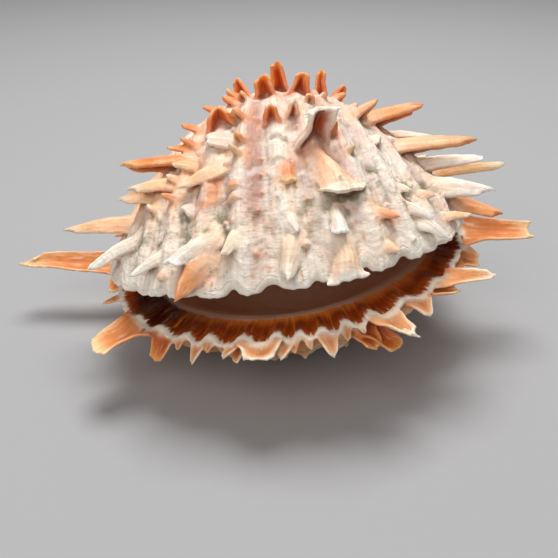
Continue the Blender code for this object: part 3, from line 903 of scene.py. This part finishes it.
def upper_tone(angle, profile, points):
    """Cream with mauve bands, warm towards the beak, with orange ridges, stains and specks."""
    degrees, wave = np.degrees(angle), rib_wave(angle)
    patch = rough_noise(points, 11 * MM, 11)
    fine = rough_noise(points, 3 * MM, 12)
    streak = sum(strength * bump(degrees, rib, wide) for rib, wide, strength in MAUVE_BANDS)
    streak += 0.4 * bump(np.abs(degrees), 60, 12) + 0.175 * (1 - wave) * (np.abs(degrees) > 70)
    share = streak * smooth(profile, 0.35, 0.6) * (1 - 0.65 * smooth(profile, 0.82, 0.94))
    warm = 0.7 * (1 - smooth(profile, 0.45, 0.72))
    warm += 0.25 * smooth(patch, 0.1, 0.6) * smooth(-degrees, -10, 10)
    ridge = smooth(wave + 0.6 * patch, 0.0, 0.9) * (1 - smooth(profile, 0.62, 0.90))
    ridge *= (0.45 + 0.35 * smooth(-degrees, 12, 30)) * (1 - bump(degrees, -3, 6))
    flank = smooth(-degrees, 20, 34) * smooth(95 + degrees, 0, 20) * bump(profile, 0.8, 0.11)
    flank *= 0.45 + 0.5 * smooth(wave + patch, -0.6, 0.8)
    stain = spotted(STAINS, degrees, profile) * (0.9 + 0.8 * fine)
    tone = linear(SKIN)
    for colour, much, most in (
        (MAUVE, share * (1.0 + 0.4 * patch) + 0.12 * fine, 0.95),
        (BLUSH, warm, 0.9),
        (EMBERS, ridge, 0.85),
        (PEACH, flank, 0.8),
        (STAIN, stain, 0.85),
        (RIM_WHITE, smooth(profile, 0.95, 1.01) * 0.5, 1),
    ):
        tone = mixed(tone, linear(colour), np.clip(much, 0, most))
    for rib, growth in SPECKS:
        mark = bump(degrees, rib + 0.4 * fine, 0.5) * bump(profile, growth, 0.0035)
        tone = mixed(tone, linear(STAIN), np.clip(mark, 0, 0.5))
    return tone


def lower_tone(points):
    """Orange to pale, and bare at the scar that it rests on."""
    warm = smooth(rough_noise(points, 7 * MM, 13), -0.4, 0.5)
    tone = mixed(linear(LOWER_SKIN), linear(LOWER_PALE), warm)
    return mixed(tone, linear(SCAR), smooth(points[:, 2] / MM, 2.5, 0.2))


def upper_grime(angle, profile, points):
    """Greenish grey dirt left in the hollows of the upper valve."""
    degrees = np.degrees(angle)
    back = 0.45 * smooth(np.abs(degrees), 90, 130) * bump(profile, 0.8, 0.15)
    settled = 1.3 * spotted(GRIME_SPOTS, degrees, profile) + back + 0.3 * bump(profile, 0.9, 0.06)
    return np.clip(settled, 0, 1) * (0.7 + 0.7 * rough_noise(points, 4 * MM, 21))


def band_tone(angle, beyond):
    """The band inside the rim: orange, redder in its middle, with painted light next to the
    porcelain, maroon towards the sides.
    """
    degrees = np.degrees(angle)
    dusk = 1.15 * bump(degrees, -58, 24) + 0.65 * bump(degrees, 82, 22)
    dusk = np.clip(dusk + 0.4 * smooth(np.abs(degrees), 100, 130), 0, 1)
    band = mixed(linear(BAND), linear(BAND_MIDDLE), 0.85 * bump(beyond, -0.062, 0.028))
    # Painted light: brighter orange next to the porcelain, where the upper valve's overhang casts
    # shade
    band = mixed(band, linear(BAND_PAINTED_LIGHT), 0.8 * bump(beyond, -0.008, 0.020))
    return mixed(band, linear(MAROON), np.clip(dusk * 1.1, 0, 1) * smooth(beyond, -0.16, -0.10))


# Materials


class Value:
    """A node's output, which can be added, taken away and multiplied as a number can."""

    def __init__(self, shader, socket):
        self.shader, self.socket = shader, socket

    def __add__(self, other):
        return self.shader.math("ADD", self, other)

    def __sub__(self, other):
        return self.shader.math("SUBTRACT", self, other)

    def __rsub__(self, other):
        return self.shader.math("SUBTRACT", other, self)

    def __mul__(self, other):
        return self.shader.math("MULTIPLY", self, other)


class Shader:
    """Short ways to add nodes to a material."""

    def __init__(self, name):
        self.material = bpy.data.materials.new(name)
        self.material.use_nodes = True
        self.tree = self.material.node_tree

    def finish(self, **inputs):
        principled = self.tree.nodes["Principled BSDF"]
        for name, value in inputs.items():
            self.feed(principled.inputs[name.replace("_", " ")], value)
        return self.material

    def value(self, kind, output=0, settings=None, **inputs):
        """A new node's output. Its inputs go by name, or as i and a number where names repeat."""
        made = self.tree.nodes.new(kind)
        for name, value in (settings or {}).items():
            setattr(made, name, value)
        for name, value in inputs.items():
            key = int(name[1:]) if name[1:].isdigit() else name.replace("_", " ")
            self.feed(made.inputs[key], value)
        return Value(self, made.outputs[output])

    def feed(self, socket, value):
        if isinstance(value, Value):
            self.tree.links.new(value.socket, socket)
        elif socket.type == "RGBA":
            socket.default_value = (*value, 1)
        else:
            socket.default_value = value

    def fact(self, name, output="Fac"):
        return self.value("ShaderNodeAttribute", output, {"attribute_name": name})

    def math(self, operation, first, second=0.0, clamp=False):
        settings = {"operation": operation, "use_clamp": clamp}
        return self.value("ShaderNodeMath", 0, settings, i0=first, i1=second)

    def between(self, value, low, high, first=0.0, second=1.0):
        return self.value(
            "ShaderNodeMapRange", 0, {"interpolation_type": "SMOOTHSTEP"},
            Value=value, From_Min=low, From_Max=high, To_Min=first, To_Max=second,
        )

    def mix(self, share, first, second, blend="MIX"):
        settings = {"data_type": "RGBA", "blend_type": blend}
        return self.value("ShaderNodeMix", 2, settings, i0=share, i6=first, i7=second)

    def vector(self, x, y=0.0, z=0.0):
        return self.value("ShaderNodeCombineXYZ", X=x, Y=y, Z=z)

    def noise(self, vector, scale, detail=3.0, rough=0.55, distortion=0.0):
        return self.value(
            "ShaderNodeTexNoise", Vector=vector, Scale=scale, Detail=detail, Roughness=rough,
            Distortion=distortion,
        )

    def cells(self, vector, scale):
        return self.value("ShaderNodeTexVoronoi", Vector=vector, Scale=scale)

    def cell_pick(self, vector, scale):
        """A number from 0 to 1 that each cell has of its own."""
        drawn = self.value("ShaderNodeTexVoronoi", "Color", Vector=vector, Scale=scale)
        return self.value("ShaderNodeSeparateColor", i0=drawn)


def shell_patterns(s, valve):
    """Where each part of the skin lies, and the patterns that colours and relief share."""
    p = SimpleNamespace()
    p.space = s.value("ShaderNodeTexCoord", "Object")
    p.angle, p.profile, p.beyond = s.fact("rib_angle"), s.fact("profile"), s.fact("beyond")
    p.spine, p.crevice, p.grime = s.fact("spine"), s.fact("crevice"), s.fact("grime")
    p.edge = 1.0 if valve.side > 0 else 0.985
    p.bare = s.math("SUBTRACT", 1.0, p.spine, clamp=True)
    p.skin = s.between(p.profile, p.edge, p.edge + 0.02, 1.0, 0.0) * p.bare
    p.inside = s.between(p.profile, 1.02, 1.04) * p.bare

    # Fine threads, scales, growth lines and pits of the outside
    p.broad = s.noise(p.space, 90, 3, 0.5)
    p.coarse = s.noise(p.space, 240, 3, 0.5)
    p.grain = s.noise(p.space, 900, 4, 0.6)
    thread = s.math("SINE", p.angle * (2 * pi / THREAD_STEP))
    p.thread = thread * s.between(p.broad, 0.35, 0.6, 0.25, 1.0)
    scale_at = s.vector(p.angle * (1 / THREAD_STEP), p.profile * 62)
    p.scales, p.pick = s.cells(scale_at, 1.0), s.cell_pick(scale_at, 1.0)
    p.growth_lines = s.noise(s.vector(p.angle * 0.14, p.profile * 85), 1.0, 4, 0.6)
    pitted = s.between(p.broad, 0.50, 0.58) * s.between(p.coarse, 0.46, 0.56)
    pitted = pitted * s.between(s.cell_pick(p.space, PIT_SCALE), 0.45, 0.55)
    p.pits = s.between(s.cells(p.space, PIT_SCALE), 0.06, 0.36, 1.0, 0.0) * pitted

    # Streaks and rings of the spines
    lane, metres, seed = s.fact("lane"), s.fact("spine_mm"), s.fact("seed")
    p.streaks = s.noise(s.vector(lane * 3.2, metres * 0.10, seed), 1.6, 3, 0.55)
    p.rings = s.noise(s.vector(lane * 0.5, metres * 1.1, seed), 1.3, 3, 0.6)

    # The comb of the rim, the band's rays and the edge of the porcelain
    comb = s.math("COSINE", p.angle * (2 * pi / COMB_STEP))
    comb_length = s.noise(s.vector(p.angle * 0.45), 1.0, 3, 0.7)
    tooth = s.math("POWER", s.math("MAXIMUM", comb, 0.0), 3.0)
    tooth = tooth * s.between(comb_length, 0.40, 0.66, 0.004, 0.013)
    p.facing = s.between(s.math("ABSOLUTE", p.angle), 38, 62, 1.0, 0.3)
    p.from_rim = p.profile - (1 + RIM_SPAN)
    white_edge = (tooth + (comb_length - 0.5) * 0.02) * p.facing
    p.into_band = s.between(p.from_rim - white_edge, -0.020, -0.014)
    p.rays = s.noise(s.vector(p.angle * 0.9, p.profile * 7), 1.0, 4, 0.65)
    drift = (s.noise(s.vector(p.angle * 0.16), 1.0, 3) - 0.5) * 0.03
    p.into_porcelain = s.between(p.beyond + drift, -0.012, 0.010)
    return p


def outside_colour(s, p, valve):
    """The shell's colour with its specks, threads, growth lines, chalk, dirt and cracks."""
    if valve.side < 0:
        shades = [(s.between(p.growth_lines, 0.5, 0.66) * 0.35 * p.skin, LOWER_LINE)]
    else:
        speck = s.between(p.scales, 0.12, 0.26, 1.0, 0.0) * s.between(p.pick, 0.74, 0.80)
        settled = p.crevice * 0.5 + (p.coarse - 0.5) * 3.0
        dirt = p.grime * s.between(settled, -0.05, 0.45)
        drift = s.math("ABSOLUTE", s.noise(p.space, 150, 5, 0.62, 0.2) - 0.5)
        crack = s.between(drift, 0.016, 0.004) * s.between(p.coarse, 0.40, 0.56)
        shades = [
            (speck * 0.55 * p.skin, SPECK),
            (s.between(p.thread, -0.2, -1.0) * 0.22 * p.skin, THREAD),
            (s.between(p.growth_lines, 0.56, 0.70) * 0.34 * p.skin, GROWTH_LINE),
            (s.between(p.coarse, 0.55, 0.68) * 0.5 * p.skin, CHALK),
            (s.math("MULTIPLY", dirt, 0.85, clamp=True), DIRT),
            (s.math("MULTIPLY", crack * p.grime * p.skin, 0.8, clamp=True), CRACK),
        ]
    lengthwise = s.between(p.streaks, 0.35, 0.75, -0.5, 0.5) * p.spine
    shades += [
        (p.pits * p.skin * 0.6, PIT),
        (s.between(lengthwise, 0.0, 0.5) * 0.30, PALE_STREAK),
        (s.between(lengthwise, 0.0, -0.5) * 0.26, DARK_STREAK),
    ]
    colour = s.fact("tone", "Color")
    for share, shade in shades:
        colour = s.mix(share, colour, paint(shade))
    return colour


def lining_colour(s, p, valve):
    """White at the rim, then the rayed band and the porcelain."""
    band = s.mix(s.between(p.rays, 0.45, 0.7, 0.0, 0.5), s.fact("band", "Color"), paint(DARK_RAY))
    band = s.mix(s.between(p.rays, 0.48, 0.34) * p.facing * 0.6, band, paint(BRIGHT_RAY))
    if valve.side > 0:
        band = s.mix(0.35, band, paint(UPPER_BAND))
    porcelain = s.mix(s.between(p.broad, 0.4, 0.65), paint(PORCELAIN), paint(WARM_PORCELAIN))
    return s.mix(p.into_porcelain, s.mix(p.into_band, paint(RIM_WHITE), band), porcelain)


def fine_relief(s, p):
    """The normals of relief too fine for the mesh, worked out in millimetres."""
    rough_skin = p.skin * 0.9 + p.spine * 0.5
    height = p.thread * 0.035 * p.skin
    for detail, middle, tall, where in (
        (s.between(p.scales, 0.0, 0.6, 1.0, 0.0), 0.3, 0.15, p.skin),
        (p.growth_lines, 0.5, 0.50, p.skin),
        (p.grain, 0.5, 0.24, rough_skin),
        (p.coarse, 0.5, 0.50, rough_skin),
        (p.pits, 0.0, -0.14, p.skin),
        (p.streaks, 0.5, 0.26, p.spine),
        (p.rings, 0.5, 0.16, p.spine),
        (p.rays, 0.5, 0.20, p.inside * (1.0 - p.into_porcelain)),
    ):
        height = height + (detail - middle) * tall * where
    return s.value("ShaderNodeBump", Strength=1.0, Distance=MM, Height=height)


def shell_material(name, valve):
    s = Shader(name)
    p = shell_patterns(s, valve)
    rim = s.between(p.profile, p.edge + 0.005, p.edge + 0.04)
    colour = s.mix(rim * p.bare, outside_colour(s, p, valve), lining_colour(s, p, valve))

    # Painted shade makes the hollows of the mesh darker and browner; crests are paler
    deep = s.between(p.crevice, 0.05, 0.75) * (1.0 - p.inside * 0.8)
    colour = s.mix(deep * 0.55, colour, s.mix(1.0, colour, paint(PAINTED_HOLLOW_SHADE), "MULTIPLY"))
    crest = s.between(p.crevice, -0.15, -0.8) * (1.0 - p.inside) * (0.28 - p.spine * 0.18)
    colour = s.mix(crest, colour, paint(CREST))

    dull = s.between(p.coarse, 0.3, 0.7, 0.48, 0.66)
    sleek = s.between(p.from_rim, 0.0, 0.05, 0.40, 0.24)
    roughness = s.value("ShaderNodeMix", 0, {"data_type": "FLOAT"}, i0=p.inside, i2=dull, i3=sleek)
    return s.finish(
        Base_Color=colour, Roughness=roughness, Normal=fine_relief(s, p), Specular_IOR_Level=0.36,
        Subsurface_Weight=0.12, Subsurface_Radius=(0.0016, 0.0009, 0.0005), Subsurface_Scale=1.0,
    )


def write_fact(mesh, name, values):
    kind = "FLOAT" if values.ndim == 1 else "FLOAT_COLOR"
    made = mesh.attributes.new(name, kind, "POINT")
    if kind == "FLOAT":
        made.data.foreach_set("value", values.astype(np.float32))
    else:
        full = np.concatenate([values, np.ones((len(values), 1))], axis=1)
        made.data.foreach_set("color", full.astype(np.float32).ravel())


def above_floor(points):
    return np.concatenate([points[:, :2], np.maximum(points[:, 2:], 0)], axis=1)


def crevices(mesh, points, mean):
    """How far each point lies in a hollow, or below nought on a crest."""
    eased = points
    for _ in range(10):
        eased = mean(eased)
    return ((eased - points) * vertex_normals(mesh)).sum(axis=1) / (0.35 * MM)


def roughen(mesh, points, profile):
    """Raise a fine crust on the outside, and keep it above the floor."""
    crust = 0.10 * MM * rough_noise(points, 1.3 * MM, 31) * (profile < 1)
    moved = points + vertex_normals(mesh) * crust[:, None]
    mesh.vertices.foreach_set("co", above_floor(moved).ravel())


def make_valve(name, node, valve, spines):
    shell, blades = shell_skin(valve), Skin()
    spines = spines + hidden_spines(valve) + small_scales(valve)
    for seed, spine in enumerate(spines, valve.first_seed):
        blade(blades, spine, valve, seed)
    for skin in (shell, blades):
        skin.points = [above_floor(points) for points in skin.points]
    piece = fused(name, [shell, blades])
    mesh = piece.data
    points, mean = positions(mesh), neighbour_mean(mesh)
    angle, profile, shell_away = shell_facts(points, shell)
    facts, spine_away = spine_facts(points, blades)
    spine = smooth((shell_away - spine_away) / MM, -0.25, 1.1)
    spine *= smooth(facts["reached"], -0.45, 0.05)
    if valve.side > 0:
        outer, grime = upper_tone(angle, profile, points), upper_grime(angle, profile, points)
    else:
        outer, grime = lower_tone(points), np.zeros(len(points))
        spine *= 1 - smooth(profile, 0.985, 1.0) * (1 - smooth(shell_away / MM, 0.25, 0.6))
    spine = mean(mean(spine))
    crevice = crevices(mesh, points, mean)
    roughen(mesh, points, profile)
    near_root = bump(spine_away, 0, TINT_SPREAD) * (1 - smooth(profile, 0.97, 1.0))
    outer = mixed(outer, facts["tone"], 0.55 * facts["bulk"] * near_root)
    beyond = profile - RIM_SPAN - 1 + RIM_ROUND - band_end(angle)
    for fact, values in (
        ("tone", mixed(outer, facts["tone"], spine)), ("band", band_tone(angle, beyond)),
        ("rib_angle", np.degrees(angle)), ("profile", profile), ("beyond", beyond),
        ("spine", spine), ("lane", facts["lane"]), ("spine_mm", facts["metres"] / MM),
        ("seed", facts["seed"]), ("crevice", crevice), ("grime", grime),
    ):
        write_fact(mesh, fact, values)
    mesh.shade_smooth()
    mesh.materials.append(shell_material(name + "_shell", valve))
    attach(piece, "root")
    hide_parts(node)


# Floor, light and camera


def floor():
    mesh = bmesh.new()
    bmesh.ops.create_grid(mesh, x_segments=1, y_segments=1, size=FLOOR_SIZE)
    data = bpy.data.meshes.new("floor")
    mesh.to_mesh(data)
    mesh.free()
    data.materials.append(Shader("floor").finish(Base_Color=FLOOR_GREY, Roughness=0.85))
    item = new_object("floor", data)


def light():
    world = bpy.data.worlds.new("soft sky")
    world.use_nodes = True
    sky = world.node_tree.nodes["Background"]
    sky.inputs["Color"].default_value = (1.0, 1.0, 1.0, 1)
    sky.inputs["Strength"].default_value = SKY_STRENGTH
    bpy.context.scene.world = world
    for name, spot, size, power, colour in LAMPS:
        data = bpy.data.lights.new(name, "AREA")
        data.shape, data.size, data.energy, data.color = "DISK", size, power, colour
        lamp = new_object(name, data)
        lamp.location = spot
        lamp.rotation_euler = (TARGET - Vector(spot)).to_track_quat("-Z", "Y").to_euler()
    bpy.context.scene.view_settings.view_transform = "Standard"


def camera():
    data = bpy.data.cameras.new("camera")
    data.sensor_width = 36
    data.lens = FOCAL_PIXELS / FRAME_PIXELS * data.sensor_width
    data.shift_x = 0.5 - TARGET_PIXEL[0] / FRAME_PIXELS
    data.shift_y = TARGET_PIXEL[1] / FRAME_PIXELS - 0.5
    data.clip_start, data.clip_end = 0.01, 20
    item = new_object("camera", data)
    back = Vector((0, -cos(CAMERA_PITCH), sin(CAMERA_PITCH)))
    item.location = TARGET + back * CAMERA_DISTANCE
    item.rotation_euler = (-back).to_track_quat("-Z", "Y").to_euler()
    bpy.context.scene.camera = item


camera()
light()
floor()
upper_spines = CREST_SPINES + LEFT_SPINES + FRONT_SPINES + RIGHT_SPINES
make_valve("upper_shell", "upper_valve", UPPER, upper_spines)
make_valve("lower_shell", "lower_valve", LOWER, LOWER_SPINES)
